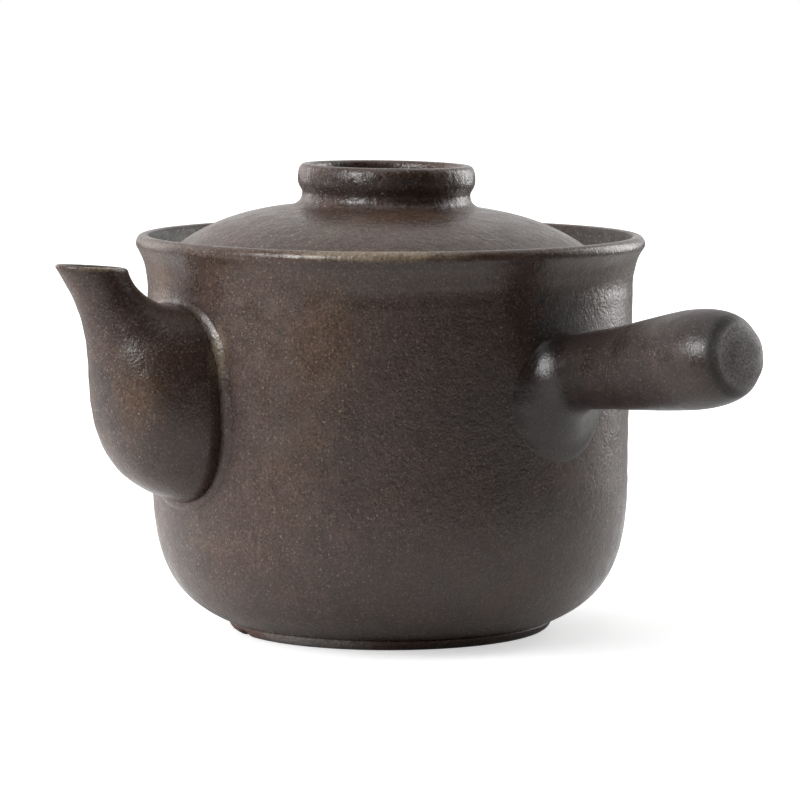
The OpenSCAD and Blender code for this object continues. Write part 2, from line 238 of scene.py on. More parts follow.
class Stage(bpy.types.PropertyGroup):
    """Camera, lamps and floor."""

    azimuth: angle("Azimuth", "Bearing of the camera round the pot", -30)
    elevation: angle("Elevation", "Height of the camera above the horizon", 5.95)
    distance: length("Distance", "Distance from the camera to the pot's axis", 1550)
    aim_right: length("Aim right", "Where the camera aims, to the right of the axis", 3.6)
    aim_up: length("Aim up", "Height at which the camera aims", 82.64)
    floor: colour("Floor", "Colour of the floor as the camera sees it", (0.80, 0.80, 0.80))
    bounce: share("Bounce", "Share of light that the floor throws back up", 0.38)
    gloss: share("Gloss", "How bright the near floor looks in reflections", 0.6)
    lens: FloatProperty(name="Lens", description="Focal length on a 36 mm sensor", default=192.68)
    key: watts("Key", "front left", 3.2)
    gleam: watts("Gleam", "front left, for highlights alone", 22.0)
    side: watts("Side", "far left", 26.5)
    top: watts("Top", "overhead", 3.0)
    right: watts("Right", "back right", 7.4)
    flank: watts("Flank", "right", 2.0)
    left: watts("Left", "back left", 2.4)
    ambient: share("Ambient", "Light from the camera's side of the room", 0.0)
    behind: share("Behind", "Light from the room behind the pot", 0.86)


GROUPS = {
    "pot_vessel": VesselSizes,
    "pot_spout": SpoutSizes,
    "pot_handle": HandleSizes,
    "pot_handle_angles": HandleAngles,
    "pot_lid": LidSizes,
    "pot_lid_shape": LidShape,
    "pot_glaze": Glaze,
    "pot_stage": Stage,
}


def in_mm(group):
    """The lengths of a property group in millimetres."""
    names = type(group).__annotations__
    return SimpleNamespace(**{name: getattr(group, name) / MM for name in names})


# ---- shapes ----


def mix(a, b, t):
    """The value a share t of the way from a to b."""
    return a + (b - a) * t


def smooth(low, high, x):
    """0 below low, 1 above high and an even slope between."""
    t = min(1.0, max(0.0, (x - low) / (high - low)))
    return t * t * (3 - 2 * t)


def bezier(points, t):
    """The point at t on the curve that the control points give."""
    points = [Vector(p) for p in points]
    while len(points) > 1:
        points = [a.lerp(b, t) for a, b in zip(points, points[1:])]
    return points[0]


def curve(points, steps):
    """Points along the curve, both ends included."""
    return [bezier(points, i / steps) for i in range(steps + 1)]


def arc(centre, radius, start, end, steps):
    """Points along an arc, with its angles in degrees."""
    turns = [math.radians(mix(start, end, i / steps)) for i in range(steps + 1)]
    return [Vector(centre) + radius * Vector((math.cos(a), math.sin(a))) for a in turns]


def rough(co, scale, seed=0.0):
    """Smooth noise from -1 to 1 at a point, with features about scale across."""
    return noise.noise(Vector(co) / scale + Vector((seed, 3.7 * seed, -1.9 * seed)))


def turned(profile, steps, closed=False):
    """A turned shape from a line of [radius, height] points."""
    bm = bmesh.new()
    verts = [bm.verts.new((r, 0, z)) for r, z in profile]
    pairs = zip(verts, verts[1:] + verts[:1] if closed else verts[1:])
    edges = [bm.edges.new(pair) for pair in pairs]
    bmesh.ops.spin(
        bm, geom=verts + edges, cent=(0, 0, 0), axis=(0, 0, 1), angle=TURN, steps=steps,
        use_merge=True, use_duplicate=False,
    )
    bmesh.ops.remove_doubles(bm, verts=bm.verts, dist=WELD)
    bmesh.ops.recalc_face_normals(bm, faces=bm.faces)
    return bm


def lofted(rings):
    """A tube through rings of points, each pulled out of the one before it, and its last ring."""
    bm = bmesh.new()
    made = bmesh.ops.create_circle(bm, cap_ends=False, radius=1, segments=len(rings[0]))
    ring = made["verts"]
    for vert, point in zip(ring, rings[0]):
        vert.co = point
    for points in rings[1:]:
        old = set(ring)
        edges = [e for e in bm.edges if e.verts[0] in old and e.verts[1] in old]
        grown = bmesh.ops.extrude_edge_only(bm, edges=edges)["geom"]
        new = {g for g in grown if isinstance(g, bmesh.types.BMVert)}
        ring = [
            next(e.other_vert(v) for e in v.link_edges if e.other_vert(v) in new) for v in ring
        ]
        for vert, point in zip(ring, points):
            vert.co = point
    return bm, ring


def cap(bm, ring, centre):
    """Closes a tube's last ring with a fan to one point."""
    edges = [e for e in bm.edges if all(v in set(ring) for v in e.verts)]
    grown = bmesh.ops.extrude_edge_only(bm, edges=edges)["geom"]
    tip = [g for g in grown if isinstance(g, bmesh.types.BMVert)]
    bmesh.ops.pointmerge(bm, verts=tip, merge_co=centre)


def close_ends(bm):
    """Joins a tube's two open ends to each other."""
    loose = [e for e in bm.edges if len(e.link_faces) == 1]
    bmesh.ops.bridge_loops(bm, edges=loose)


def shade(bm, name, amount):
    """Stores an amount from 0 to 1 on every point for the finish to read."""
    layer = bm.verts.layers.float.new(name)
    bm.verts.index_update()
    bm.normal_update()
    for vert in bm.verts:
        vert[layer] = amount(vert)


def finish_piece(bm, name, material, body, nodes):
    """Makes the mesh an object in metres that rides on a body and stands for its CAD nodes."""
    bmesh.ops.recalc_face_normals(bm, faces=bm.faces)
    bmesh.ops.scale(bm, vec=(MM, MM, MM), verts=bm.verts)
    mesh = bpy.data.meshes.new(name)
    bm.to_mesh(mesh)
    bm.free()
    mesh.shade_smooth()
    mesh.materials.append(material)
    piece = bpy.data.objects.new(name, mesh)
    bpy.context.scene.collection.objects.link(piece)
    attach(piece, body)
    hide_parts(*nodes)
    return piece


# ---- the vessel's lines ----


def vessel_lines(scene):
    """The sizes of the vessel in millimetres, with the ones worked out from them."""
    s = in_mm(scene.pot_vessel)
    s.base_r = s.wall_radius - s.wall_taper
    s.belly_z = s.foot_height + s.belly_height
    s.flare_z = s.rim_height - s.flare_height
    s.lip_low = s.rim_height - s.lip_face
    s.crest_r = s.lip_radius - s.crest
    s.ledge_z = s.rim_height - s.ledge_drop
    s.seat_r = s.wall_radius - s.wall
    s.ledge_r = s.seat_r - s.ledge_width
    s.ledge_low = s.ledge_z - s.ledge_thickness - s.ledge_width
    s.floor_z = s.foot_height + s.floor
    return s


def wall_at(s, z):
    """Outer radius of the wall above the belly at height z."""
    flare = max(0.0, z - s.flare_z) / (s.lip_low - s.flare_z)
    return s.base_r + s.wall_taper * smooth(s.belly_z, s.flare_z, z) + s.flare * flare**3


def wall_line(s, low, high, steps):
    """Points up the outer wall from one height to another."""
    heights = (mix(low, high, i / steps) for i in range(steps + 1))
    return [(wall_at(s, z), z) for z in heights]


def on_wall(s, side, z, out):
    """The point at a height on the wall, moved sideways and out from it, on the +X side."""
    r = wall_at(s, z) + out
    return Vector((math.sqrt(r * r - side * side), side, z))


def stray(s, co):
    """How far the thrown wall lies out from a true turn at a point."""
    around = math.atan2(co.y, co.x)
    ring = math.sin(co.z * TURN / RING_PITCH + 1.3 * math.sin(around) + 0.8 * rough(co, 45, 2.0))
    return s.unevenness * rough(co, 75, 5.0) + s.throwing_rings * ring * smooth(20, 60, co.z)


def throw(bm, s, z_still):
    """Moves a turned wall in and out a little, but not where the lid sits."""
    for v in bm.verts:
        r = math.hypot(v.co.x, v.co.y)
        if r < 1:
            continue
        held = 1 - 0.7 * smooth(2, 0, abs(v.co.z - z_still))
        v.co.xy *= 1 + stray(s, v.co) * held * smooth(5, 40, r) / r
        high = smooth(z_still + 3, s.rim_height - 3, v.co.z)
        facing = math.cos(math.atan2(v.co.y, v.co.x) - math.radians(HIGH_SIDE))
        v.co.z += s.rim_rise * smooth(-0.1, 0.9, facing) * high


class POT_OT_vessel(bpy.types.Operator):
    """Turns the vessel with its belly, flared rim and ledge, and opens the strainer's port"""

    bl_idname = "herb_pot.vessel"
    bl_label = "Vessel"

    def execute(self, context):
        s = vessel_lines(context.scene)
        belly = curve(
            [(s.foot_radius, s.foot_height),
             (s.foot_radius + s.belly_reach, s.foot_height + s.belly_reach * 0.42),
             (s.base_r, s.belly_z - s.belly_height * 0.62),
             (s.base_r, s.belly_z)], 28)
        wall = wall_line(s, s.belly_z, s.flare_z, 14)[1:-1]
        flare = wall_line(s, s.flare_z, s.lip_low, 18)
        top = s.rim_height
        crest_end = (s.crest_r - 0.4, top - 2.6)
        lip = curve(
            [flare[-1], (s.lip_radius + 0.15, s.lip_low + 0.9), (s.lip_radius + 0.1, top - 1.1),
             (s.lip_radius - 1, top), (s.lip_radius - 2.8, top)], 14)[1:]
        lip += curve(
            [(s.lip_radius - 3.8, top - 0.1), (s.crest_r + 0.1, top - 0.5), crest_end], 7)
        throat = curve(
            [crest_end, (s.seat_r + 1.8, s.ledge_z + s.ledge_drop * 0.45),
             (s.seat_r, s.ledge_z + s.ledge_drop * 0.3),
             (s.seat_r, s.ledge_z + 0.9)], 10)
        corner = arc((s.seat_r - 0.9, s.ledge_z + 0.9), 0.9, 0, -90, 3)[1:]
        ledge = [(s.ledge_r + 2.4, s.ledge_z)]
        ledge += arc((s.ledge_r + 1.2, s.ledge_z - 1.2), 1.2, 90, 180, 4)
        ledge += arc((s.ledge_r + 1.2, s.ledge_z - s.ledge_thickness + 1.2), 1.2, 180, 225, 3)
        under = [(s.seat_r - 1.5, s.ledge_low + 1.8), (s.seat_r - 0.5, s.ledge_low - 0.5)]
        inner_wall = [
            (mix(s.seat_r, s.base_r - s.wall, t), mix(s.ledge_low, s.belly_z, t))
            for t in (i / 12 for i in range(1, 12))
        ]
        bowl = curve(
            [(s.base_r - s.wall, s.belly_z),
             (s.base_r - s.wall, s.belly_z - s.belly_height * 0.62),
             (s.foot_radius + s.belly_reach * 0.45, s.floor_z + 0.5),
             (s.foot_radius - s.belly_reach * 0.45, s.floor_z)], 24)
        floor = [(r, s.floor_z) for r in (40, 30, 20, 10, 0)]
        base = [(r, s.foot_height) for r in (0, 12, 24, 36, 48)]
        profile = base + belly + wall + flare + lip + throat[1:] + corner + ledge + under
        profile += inner_wall + bowl + floor
        bm = turned(profile, AROUND)

        # The finish paints shade by this amount: inside the vessel and on the faces turned up from
        # the ledge down.
        def depth(v):
            """How far a point counts as inside the vessel, from 0 to 1."""
            inward = -v.normal.dot(v.co * Vector((1, 1, 0))) / max(1.0, v.co.xy.length)
            held = v.normal.z * smooth(s.ledge_z + 6, s.ledge_z, v.co.z)
            return smooth(0.3, 0.8, max(inward, held)) * (v.co.z > s.foot_height + 1)

        shade(bm, "hollow", depth)
        throw(bm, s, s.ledge_z)
        piece = finish_piece(
            bm, "pot_body", finish("stoneware"), "pot",
            ["vessel_wall", "vessel_base", "lid_ledge"],
        )
        self.open_port(context, s, piece)
        return {"FINISHED"}

    def open_port(self, context, s, piece):
        """Cuts the round port behind the spout, which the strainer fills."""
        mesh = bpy.data.meshes.new("port_cutter")
        bm = bmesh.new()
        low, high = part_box("strainer")
        place = Matrix.Translation((-s.wall_radius, 0, (low[2] + high[2]) / 2 / MM))
        place = Matrix.Scale(MM, 4) @ place @ Matrix.Rotation(math.pi / 2, 4, "Y")
        bmesh.ops.create_cone(
            bm, cap_ends=True, segments=96, radius1=s.port_radius, radius2=s.port_radius,
            depth=30, matrix=place,
        )
        bm.to_mesh(mesh)
        bm.free()
        cutter = bpy.data.objects.new("port_cutter", mesh)
        context.scene.collection.objects.link(cutter)
        cut = piece.modifiers.new("port", "BOOLEAN")
        cut.operation = "DIFFERENCE"
        cut.solver = "EXACT"
        cut.object = cutter
        with context.temp_override(object=piece, active_object=piece):
            bpy.ops.object.modifier_apply(modifier=cut.name)
        bpy.data.objects.remove(cutter)
        bpy.data.meshes.remove(mesh)


class POT_OT_foot(bpy.types.Operator):
    """Turns the unglazed foot ring and presses its two air notches"""

    bl_idname = "herb_pot.foot"
    bl_label = "Foot ring"

    def execute(self, context):
        s = vessel_lines(context.scene)
        inside = s.foot_radius - s.foot_width
        tread = s.foot_radius - s.foot_taper
        side = curve([(tread, 0), (tread + 1.6, 0.05), (s.foot_radius - 0.3, s.foot_height * 0.3),
                      (s.foot_radius, s.foot_height)], 10)
        inner = [(inside, s.foot_height), (inside + 0.7, 1.6), (inside + 1.3, 0.5),
                 (inside + 2.3, 0.05), (inside + 3.5, 0)]
        top = [(mix(s.foot_radius, inside, t), s.foot_height) for t in (0.25, 0.5, 0.75)]
        profile = inner + side + top
        bm = turned(profile, 2 * AROUND, closed=True)
        first = math.radians(FOOT_NOTCH)
        for v in bm.verts:
            low = smooth(s.foot_height, 0, v.co.z)
            for bearing in (first, first + math.pi):
                off = (math.atan2(v.co.y, v.co.x) - bearing + math.pi) % TURN - math.pi
                across = abs(off) * s.foot_radius
                v.co.z += s.notch_height * low * smooth(s.notch_width * 0.62, 2.2, across)
        finish_piece(bm, "pot_foot", finish("bare_clay"), "pot", ["foot_ring"])
        return {"FINISHED"}


# ---- spout ----


def spout_lines(scene):
    """Sizes of the spout and the lines that its sections follow, in millimetres."""
    v = vessel_lines(scene)
    s = in_mm(scene.pot_spout)
    top_z = s.root_z + s.root_h / 2
    low_z = s.root_z - s.root_h / 2
    mouth_out = Vector((v.wall_radius + s.reach, v.rim_height - s.lip_drop))
    mouth_in = mouth_out - Vector((s.mouth_l, s.mouth_drop))
    bulb = v.wall_radius + s.bulb_reach
    s.top = [(wall_at(v, top_z), top_z), (wall_at(v, top_z) + 9.5, top_z - 1),
             mouth_in - Vector((1.5, 6)), mouth_in]
    s.low = [(wall_at(v, low_z), low_z), (wall_at(v, low_z) + 12, low_z + 6),
             (bulb + 9.5, low_z + 8.5), (bulb - 7, low_z + 51),
             mouth_out - Vector((14.5, 20)), mouth_out]
    half = s.root_w / 2
    s.half = [(w,) for w in (half, half, half + 1, s.mouth_w / 2 + 4, s.mouth_w / 2 + 0.3,
                             s.mouth_w / 2)]
    return v, s


def squared(a, n):
    """Cosine and sine of a, drawn out towards a square as n grows from 2."""
    c, d = math.cos(a), math.sin(a)
    return (math.copysign(abs(c) ** (2 / n), c), math.copysign(abs(d) ** (2 / n), d))


def scalar_bezier(values, t):
    """The number at t on the curve that the control numbers give."""
    values = list(values)
    while len(values) > 1:
        values = [mix(a, b, t) for a, b in zip(values, values[1:])]
    return values[0]


def spout_point(s, t, a, inset):
    """A point of the spout's section at t, at angle a from its upper line."""
    top, low = bezier(s.top, t), bezier(s.low, t)
    mid, half = (top + low) / 2, (top - low).length / 2
    up = (top - low) / (2 * half)
    c, d = squared(a, mix(2.6, 2, min(1, 1.6 * t)))
    p = mid + up * (half - inset) * c
    return Vector((p[0], (scalar_bezier([h[0] for h in s.half], t) - inset) * d, p[1]))


def to_spout(point):
    """A point made on the +X side, turned to the spout's side."""
    return Vector((-point[0], -point[1], point[2]))


class POT_OT_spout(bpy.types.Operator):
    """Pulls the bulbous spout from its root on the wall up to its pouring lip"""

    bl_idname = "herb_pot.spout"
    bl_label = "Spout"

    def execute(self, context):
        v, s = spout_lines(context.scene)
        sides, count = 72, 44
        angles = [TURN * k / sides for k in range(sides)]

        def ring(t, inset, on_root):
            """One section of the spout, laid on the wall where it is the root."""
            points = []
            for a in angles:
                p = spout_point(s, t, a, inset)
                if on_root:
                    p = on_wall(v, p[1], p[2], -SUNK)
                points.append(to_spout(p))
            return points

        rings = []
        for i in range(count + 1):
            t = i / count
            tuck = 0.2 * smooth(0.05, 0, t)
            rings.append(ring(t, tuck, i == 0))
        lip = s.lip_wall
        for turn in LIP_TURNS:
            c, d = math.cos(math.radians(turn)), math.sin(math.radians(turn))
            edge = ring(1, lip / 2 * (1 - c), False)
            rings.append([p + Vector((-0.25, 0, 1)) * lip / 2 * d * 0.8 for p in edge])
        for i in range(count, -1, -1):
            t = i / count
            rings.append(ring(t, mix(s.wall, lip, t), i == 0))
        bm = lofted(rings)[0]
        inside = sides * (count + 1 + len(LIP_TURNS))
        # Painted shade down the spout's bore.
        shade(bm, "hollow", lambda vert: 0.9 * (vert.index >= inside))
        close_ends(bm)
        throw(bm, v, v.ledge_z)
        for vert in bm.verts:
            out = smooth(88, 100, -vert.co.x)
            vert.co += Vector((-1, 0, 0)) * 0.25 * rough(vert.co, 28, 8.0) * out
            vert.co.y += 0.3 * rough(vert.co, 34, 11.0) * out
        finish_piece(bm, "pour_spout", finish("stoneware"), "pot", ["spout"])
        return {"FINISHED"}


class POT_OT_seam(bpy.types.Operator):
    """Lays the smoothed ridge of clay round the spout's root"""

    bl_idname = "herb_pot.seam"
    bl_label = "Spout seam"

    def execute(self, context):
        v, s = spout_lines(context.scene)
        sides = 144
        rings = []
        for k in range(sides):
            c, d = squared(TURN * k / sides, 2.6)
            co = Vector((60 * c, 60 * d, 0))
            w = mix(s.seam_top, s.seam_w, abs(d) ** 2) * (1 + 0.14 * rough(co, 22, 3.0))
            h = s.seam_h * mix(1, 0.45, smooth(0.3, -0.9, c))
            h *= 1 + 0.2 * rough(co, 14, 6.0) + 0.12 * rough(co, 5, 9.0)
            section = [(w, -SUNK), (w * 0.97, 0.0), (w * 0.86, h * 0.2), (w * 0.7, h * 0.5),
                       (w * 0.52, h * 0.8), (w * 0.34, h * 0.97), (w * 0.12, h),
                       (-0.5, h * 0.96), (-1.2, h * 0.6), (-1.4, -SUNK)]
            ring = []
            for out, up in section:
                side = (s.root_w / 2 + out) * d
                z = s.root_z + (s.root_h / 2 + out) * c
                ring.append(to_spout(on_wall(v, side, z, up)))
            rings.append(ring)
        bm = lofted(rings)[0]
        close_ends(bm)
        throw(bm, v, v.ledge_z)
        finish_piece(bm, "spout_seam", finish("stoneware"), "pot", ["spout_collar"])
        return {"FINISHED"}


# ---- handle ----


class POT_OT_handle(bpy.types.Operator):
    """Draws the hollow handle and its flared collar in one smoothed skin"""

    bl_idname = "herb_pot.handle"
    bl_label = "Handle"

    def execute(self, context):
        v = vessel_lines(context.scene)
        s = in_mm(context.scene.pot_handle)
        turn = context.scene.pot_handle_angles
        sides = 96
        angles = [TURN * k / sides for k in range(sides)]
        root = Vector((wall_at(v, s.axis_z), 0, s.axis_z))
        along = Vector((math.cos(turn.tilt), 0, math.sin(turn.tilt)))
        up = Vector((-math.sin(turn.tilt), 0, math.cos(turn.tilt)))
        side = Vector((0, 1, 0))

        grip = s.length - s.dome_l
        pulls = (s.neck_r, s.waist_r, s.swell_r, s.grip_r)

        def radius(d):
            """Radius of the handle at a distance d from the wall, up to the tip of its dome."""
            if d <= grip:
                return scalar_bezier(pulls, max(0.0, d / grip))
            return s.grip_r * (1 - min(1.0, (d - grip) / s.dome_l) ** GRIP_DOME) ** (1 / GRIP_DOME)

        def handle_point(a, d, r):
            """The point at angle a and radius r from the handle's axis, d along it."""
            return root + along * d + (up * math.cos(a) + side * math.sin(a)) * r

        def collar_top(a):
            """How far up the handle the collar ends."""
            return 0.3 + s.collar_l * mix(0.45, 1, (1 - math.cos(a)) / 2)

        def collar_point(a, t):
            """A point of the collar, from its foot on the wall at t = 0 to the neck at t = 1."""
            q = t * math.pi / 2
            foot = Vector((math.sin(a), math.cos(a))) * s.collar_r - Vector((0, s.collar_drop))
            neck_end = handle_point(a, collar_top(a), radius(collar_top(a)))
            neck = Vector((neck_end[1], neck_end[2] - s.axis_z))
            reach = math.hypot(neck_end[0], neck_end[1]) - wall_at(v, neck_end[2])
            h = reach * (1 - math.cos(q))
            crisp = smooth(-0.3, 0.8, math.cos(a - math.radians(125)))
            h += s.collar_edge * mix(0.6, 1, crisp) * smooth(0, mix(0.28, 0.05, crisp), t) * (
                smooth(0.6, 0.28, t))
            p = foot.lerp(neck, math.sin(q))
            return on_wall(v, p[0], s.axis_z + p[1], h if t > 0 else -SUNK)

        rings = []
        for t in (0, 0.015, 0.035, 0.06, 0.09, 0.13, 0.18, 0.24, 0.31, 0.38, 0.46, 0.54, 0.62,
                  0.70, 0.78, 0.86, 0.93, 1.0):
            rings.append([collar_point(a, t) for a in angles])
        for i in range(1, 31):
            ring = []
            for a in angles:
                d = mix(collar_top(a), grip, i / 30)
                ring.append(handle_point(a, d, radius(d)))
            rings.append(ring)
        for i in range(1, 40):
            d = grip + s.dome_l * math.sin(math.pi / 2 * i / 40)
            r = radius(d)
            d -= s.groove * math.exp(-(((r - s.face_r) / 1.2) ** 2))
            rings.append([handle_point(a, d, r) for a in angles])
        bm, last = lofted(rings)
        cap(bm, last, handle_point(0, s.length, 0))
        end = root + along * s.length

        def from_end(vert):
            """How far a point is from the middle of the handle's end face."""
            return (vert.co - end).length

        # The end face is made dull, and the finish paints light on it.
        shade(bm, "dull", lambda vert: smooth(s.face_r + 0.5, s.face_r - 1.5, from_end(vert)))
        # Painted shade in the groove round the end face, on its left half.
        shade(bm, "hollow", lambda vert: 0.85 * smooth(7, -8, vert.co.y) * smooth(
            3.2, 0.8, abs(from_end(vert) - s.face_r - 1.2)))
        for vert in bm.verts:
            out = smooth(90, 104, vert.co.x)
            away = Vector(vert.co) - root
            away -= along * away.dot(along)
            if away.length > 1:
                vert.co += away.normalized() * 0.45 * rough(vert.co, 30, 4.0) * out
        bmesh.ops.rotate(
            bm, verts=bm.verts, cent=(0, 0, 0),
            matrix=Matrix.Rotation(math.pi + turn.bearing, 3, "Z"),
        )
        throw(bm, v, v.ledge_z)
        finish_piece(
            bm, "side_handle", finish("grip"), "pot", ["handle", "handle_collar"]
        )
        return {"FINISHED"}


# ---- lid ----


def lid_lines(scene):
    """Sizes of the lid in millimetres, with the ones worked out from the vessel."""
    v = vessel_lines(scene)
    s = in_mm(scene.pot_lid)
    s.even = scene.pot_lid_shape.even
    s.lean = scene.pot_lid_shape.lean
    s.seat_z = v.ledge_z
    s.lid_r = v.seat_r - s.gap
    s.dome_edge_z = v.ledge_z + s.edge_height
    s.flange_r = v.ledge_r - s.flange_gap
    turn = scene.pot_stage.azimuth
    s.view_right = Vector((math.cos(turn), math.sin(turn), 0))
    return s


def dome_at(s, r):
    """Height of the dome's outer face at radius r."""
    u = r / s.lid_r
    return s.dome_edge_z + s.rise * (1 - s.even * u**2 - (1 - s.even) * u**4)


def dome_line(s, r0, r1, rise, steps):
    """Points along the dome from one radius to another, moved up by a rise."""
    radii = [mix(r0, r1, i / steps) for i in range(steps + 1)]
    return [(r, dome_at(s, r) + rise) for r in radii]


def settle(bm, s):
    """Leans the lid over on its seat and shifts it, while its edge stays in the ledge."""
    seat = Vector((0, 0, s.seat_z))
    forward = s.view_right.cross(Vector((0, 0, 1)))
    turn = Matrix.Rotation(-s.lean, 3, forward)
    for v in bm.verts:
        k = smooth(s.seat_z + 1, s.seat_z + 8, v.co.z)
        there = turn @ (v.co - seat) + seat - s.view_right * s.shift
        v.co = v.co.lerp(there, k)
        r = math.hypot(v.co.x, v.co.y)
        if r > 1:
            v.co.z += 0.22 * rough(v.co, 40, 7.0) * k


class POT_OT_lid(bpy.types.Operator):
    """Turns the lid's dome and the locating flange under it"""

    bl_idname = "herb_pot.lid"
    bl_label = "Lid"

    def execute(self, context):
        s = lid_lines(context.scene)
        ease = 1.4
        top = dome_line(s, 0, s.lid_r - ease, 0, 46)
        edge = arc((s.lid_r - ease, s.dome_edge_z - ease * 0.3 - 0.2), ease, 60, 0, 3)
        edge += arc((s.lid_r - ease, s.seat_z + ease), ease, 0, -90, 4)
        rest = [(mix(s.lid_r - ease, s.flange_r + 0.1, t), s.seat_z) for t in (0.4, 0.8, 1.0)]
        under = dome_line(s, s.flange_r + 0.1, 0, -s.thickness, 30)
        bm = turned(top + edge + rest + under, AROUND)
        settle(bm, s)
        finish_piece(
            bm, "lid_cover", finish("lid_stoneware"), "lid", ["lid_dome", "lid_rim"],
        )

        low = s.seat_z - s.flange_height
        inner = s.flange_r - s.flange
        foot = arc((inner + 1.5, low + 1.5), 1.5, 180, 270, 4)
        foot += arc((s.flange_r - 1.5, low + 1.5), 1.5, 270, 360, 4)
        outside = [(s.flange_r, mix(low + 1.5, dome_at(s, s.flange_r) - s.thickness - 0.1, t))
                   for t in (0.3, 0.6, 1.0)]
        roof = dome_line(s, s.flange_r, inner, -s.thickness - 0.1, 4)[1:]
        inside = [(inner, mix(roof[-1][1], low + 1.5, t)) for t in (0.3, 0.6)]
        bm = turned(foot + outside + roof + inside, AROUND, closed=True)
        settle(bm, s)
        finish_piece(
            bm, "lid_rim_flange", finish("lid_stoneware"), "lid", ["lid_flange"]
        )
        return {"FINISHED"}


class POT_OT_knob(bpy.types.Operator):
    """Turns the ring knob that the lid is lifted by"""

    bl_idname = "herb_pot.knob"
    bl_label = "Knob"

    def execute(self, context):
        s = lid_lines(context.scene)
        groove_r = s.knob_r - s.groove
        inner = s.knob_r - s.knob
        base = dome_at(s, groove_r)
        top = base + s.knob_h
        skirt = groove_r + s.fillet
        cup = inner - 2.5
        profile = curve([(skirt, dome_at(s, skirt) - 0.15), (groove_r + s.fillet * 0.3, base),
                         (groove_r + 0.1, base + s.knob_h * 0.10),
                         (groove_r, base + s.knob_h * 0.29)], 12)
        profile += curve([(groove_r, base + s.knob_h * 0.29), (groove_r, base + s.knob_h * 0.40),
                          (s.knob_r, base + s.knob_h * 0.44),
                          (s.knob_r, base + s.knob_h * 0.64)], 12)[1:]
        profile += curve([(s.knob_r, base + s.knob_h * 0.64), (s.knob_r, base + s.knob_h * 0.86),
                          (s.knob_r - 0.6, top), (s.knob_r - s.knob * 0.5, top)], 10)[1:]
        profile += curve([(inner + s.knob * 0.4, top), (inner, top),
                          (inner, top - s.knob * 0.5)], 8)
        profile += curve([(inner, base + s.knob_h * 0.4), (inner, dome_at(s, inner) + 1),
                          (cup, dome_at(s, cup) - 0.15)], 8)
        profile += dome_line(s, cup - 1, skirt + 1, -0.6, 6)
        bm = turned(profile, AROUND, closed=True)
        settle(bm, s)
        finish_piece(
            bm, "lid_ring_knob", finish("lid_stoneware"), "lid", ["lid_knob"]
        )
        return {"FINISHED"}


# ---- materials ----


def blank_tree(owner):
    """The emptied node tree of a material or a world."""
    owner.use_nodes = True
    owner.node_tree.nodes.clear()
    return owner.node_tree


def fill(tree, made, values):
    """Links the values that are sockets to a node's inputs and sets the others there."""
    for key, value in values.items():
        if isinstance(value, bpy.types.NodeSocket):
            tree.links.new(value, made.inputs[key])
        else:
            made.inputs[key].default_value = value
    return made


def node(tree, kind, values=None, **settings):
    """A new node with its settings and inputs."""
    made = tree.nodes.new(kind)
    for name, value in settings.items():
        setattr(made, name, value)
    return fill(tree, made, values or {})


def maths(tree, operation, *values):
    """The result of a maths node."""
    return node(tree, "ShaderNodeMath", dict(enumerate(values)), operation=operation).outputs[0]


def vector(tree, operation, *values):
    """The outputs of a vector maths node."""
    return node(
        tree, "ShaderNodeVectorMath", dict(enumerate(values)), operation=operation
    ).outputs


def object_place(tree):
    """The point's place in its object's own coordinates."""
    return node(tree, "ShaderNodeTexCoord").outputs["Object"]


def slope(tree, value, low, high, out_low=0.0, out_high=1.0):
    """Maps a value from one range to another with a soft start and end."""
    made = node(
        tree, "ShaderNodeMapRange",
        {"Value": value, "From Min": low, "From Max": high, "To Min": out_low,
         "To Max": out_high},
        interpolation_type="SMOOTHSTEP",
    )
    return made.outputs["Result"]


def blend(tree, factor, a, b, kind="MIX"):
    """Two colours mixed by a factor."""
    made = node(tree, "ShaderNodeMix", {0: factor, 6: a, 7: b}, data_type="RGBA", blend_type=kind)
    return made.outputs[2]


def rgba(values):
    """A colour with full alpha."""
    return (*values, 1.0)


def new_group(name, inputs, outputs):
    """A shader node group with named sockets, its tree and its input node."""
    tree = bpy.data.node_groups.new(name, "ShaderNodeTree")
    for socket, kind, default in inputs:
        made = tree.interface.new_socket(socket, in_out="INPUT", socket_type=kind)
        if default is not None:
            made.default_value = default
    for socket, kind in outputs:
        tree.interface.new_socket(socket, in_out="OUTPUT", socket_type=kind)
    return tree, tree.nodes.new("NodeGroupInput").outputs


def noise_at(tree, position, scale, detail=2.0, rough_share=0.5, offset=None):
    """Fractal noise over a position in millimetres."""
    if offset is not None:
        position = vector(tree, "ADD", position, offset)[0]
    made = node(
        tree, "ShaderNodeTexNoise",
        {"Vector": position, "Scale": scale, "Detail": detail, "Roughness": rough_share},
    )
    return made.outputs["Fac"]


def grain_group():
    """Pale and dark grains: a mask of round specks of mixed size."""
    tree, given = new_group(
        "Grog specks",
        [("Position", "NodeSocketVector", None), ("Spacing", "NodeSocketFloat", 1.5),
         ("Radius", "NodeSocketFloat", 0.3), ("Share", "NodeSocketFloat", 0.3)],
        [("Mask", "NodeSocketFloat")],
    )
    cells = maths(tree, "DIVIDE", 1.0, given["Spacing"])
    cell = node(
        tree, "ShaderNodeTexVoronoi", {"Vector": given["Position"], "Scale": cells},
        feature="F1", distance="EUCLIDEAN",
    )
    near = maths(tree, "MULTIPLY", cell.outputs["Distance"], given["Spacing"])
    luck = node(tree, "ShaderNodeSeparateColor", {0: cell.outputs["Color"]})
    grown = maths(tree, "MULTIPLY", given["Radius"], slope(tree, luck.outputs[1], 0, 1, 0.55, 1.45))
    inner = maths(tree, "MULTIPLY", grown, 0.45)
    spot = slope(tree, near, grown, inner)
    chosen = maths(tree, "LESS_THAN", luck.outputs[0], given["Share"])
    mask = maths(tree, "MULTIPLY", spot, chosen)
    node(tree, "NodeGroupOutput", {"Mask": mask})
    return tree


